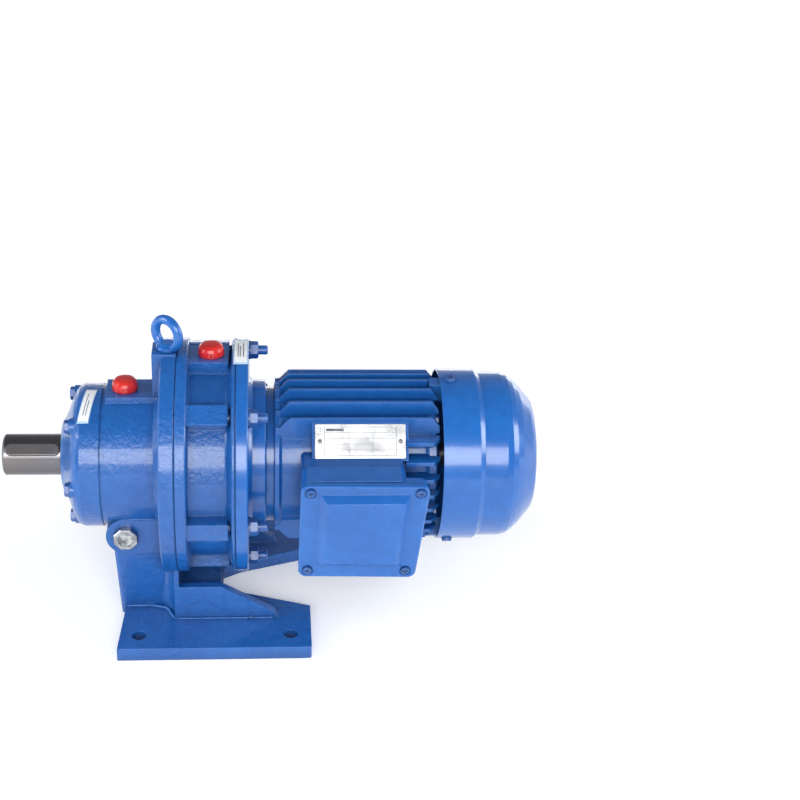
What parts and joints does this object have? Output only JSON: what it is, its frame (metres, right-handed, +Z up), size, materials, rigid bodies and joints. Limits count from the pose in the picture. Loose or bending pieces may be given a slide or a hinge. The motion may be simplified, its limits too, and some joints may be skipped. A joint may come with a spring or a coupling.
{
  "type": "cycloidal gearmotor",
  "caption": "Foot-mounted cycloidal gear reducer with a finned electric motor on one shaft line and a keyed output shaft.",
  "frame": {"origin": "centre of the four foot holes, on the mounting plane under the foot", "axes": "+Z up from the mounting plane; the shaft line runs along X at 140 mm height, the output shaft points to -X and the fan end to +X; the terminal box is on the -Y side"},
  "size_m": [0.449, 0.224, 0.2712],
  "materials": {
    "cast_blue": "blue enamel over rough casting",
    "smooth_blue": "gloss blue enamel",
    "frame_blue": "blue enamel over finned frame",
    "shaft_steel": "ground",
    "bolt_steel": "zinc plated",
    "bolt_blue": "painted over",
    "bearing_steel": "ground",
    "core_steel": "laminated",
    "copper": "enamelled wire",
    "seal_rubber": "matte",
    "gasket_paper": "matte",
    "plug_red": "gloss",
    "bezel_chrome": "polished",
    "sight_lens": "clear",
    "fan_black": "moulded",
    "gland_black": "moulded",
    "plate_alu": "satin",
    "board_plastic": "moulded",
    "brass_stud": "bare"
  },
  "bodies": {
    "housing": {"base_housing": "cast_blue", "output_end_cover": "cast_blue", "end_cover_gasket": "gasket_paper", "end_cover_bolts": "bolt_blue", "output_oil_seal": "seal_rubber", "output_bearing_outer_rings": "bearing_steel", "ring_gear_housing": "cast_blue", "ring_pins": "bearing_steel", "ring_rollers": "bearing_steel", "base_gasket": "gasket_paper", "adapter_gasket": "gasket_paper", "motor_adapter": "smooth_blue", "tie_studs": "bolt_steel", "tie_washers": "bolt_steel", "tie_nuts": "bolt_steel", "motor_flange_bolts": "bolt_steel", "eye_bolt": "smooth_blue", "oil_fill_plug": "plug_red", "breather_plug": "plug_red", "sight_glass_body": "bezel_chrome", "sight_glass_lens": "sight_lens", "drain_plug": "bolt_steel", "motor_frame": "frame_blue", "nameplate": "plate_alu", "stator_core": "core_steel", "stator_windings": "copper", "input_oil_seal": "seal_rubber", "motor_bearing_outer_rings": "bearing_steel", "rear_endshield": "frame_blue", "rear_shield_bolts": "bolt_steel", "fan_cover": "smooth_blue", "fan_cover_screws": "bolt_steel", "terminal_box": "smooth_blue", "terminal_gasket": "seal_rubber", "terminal_lid": "smooth_blue", "lid_screws": "bolt_steel", "terminal_board": "board_plastic", "terminal_studs": "brass_stud", "cable_gland": "gland_black"},
    "rotor": {"motor_shaft": "shaft_steel", "rotor_core": "core_steel", "eccentric_key": "bearing_steel", "eccentric_sleeve": "bearing_steel", "eccentric_rollers": "bearing_steel", "pilot_bearing_inner": "bearing_steel", "motor_bearing_inner_rings": "bearing_steel", "motor_bearing_balls": "bearing_steel", "fan": "fan_black"},
    "disc_a": {"cycloid_disc_a": "bearing_steel"},
    "disc_b": {"cycloid_disc_b": "bearing_steel"},
    "output": {"output_shaft": "shaft_steel", "output_key": "shaft_steel", "shaft_circlip": "bearing_steel", "output_bearing_inner_rings": "bearing_steel", "output_bearing_balls": "bearing_steel", "output_pins": "bearing_steel", "output_rollers": "bearing_steel", "disc_spacer_ring": "bearing_steel", "pilot_bearing_outer": "bearing_steel", "pilot_bearing_balls": "bearing_steel"}
  },
  "joints": [
    {"name": "input_spin", "type": "hinge", "parent": "housing", "child": "rotor", "pos_m": [0, 0, 0.14], "axis": [1, 0, 0], "continuous": true},
    {"name": "disc_a_spin", "type": "hinge", "parent": "rotor", "child": "disc_a", "pos_m": [0, 0.0015, 0.14], "axis": [1, 0, 0], "continuous": true},
    {"name": "disc_b_spin", "type": "hinge", "parent": "rotor", "child": "disc_b", "pos_m": [0, -0.0015, 0.14], "axis": [1, 0, 0], "continuous": true},
    {"name": "output_spin", "type": "hinge", "parent": "housing", "child": "output", "pos_m": [0, 0, 0.14], "axis": [1, 0, 0], "continuous": true}
  ],
  "couplings": [
    {"joint": "disc_a_spin", "follows": "input_spin", "ratio": -1.0588},
    {"joint": "disc_b_spin", "follows": "input_spin", "ratio": -1.0588},
    {"joint": "output_spin", "follows": "input_spin", "ratio": -0.058824}
  ]
}
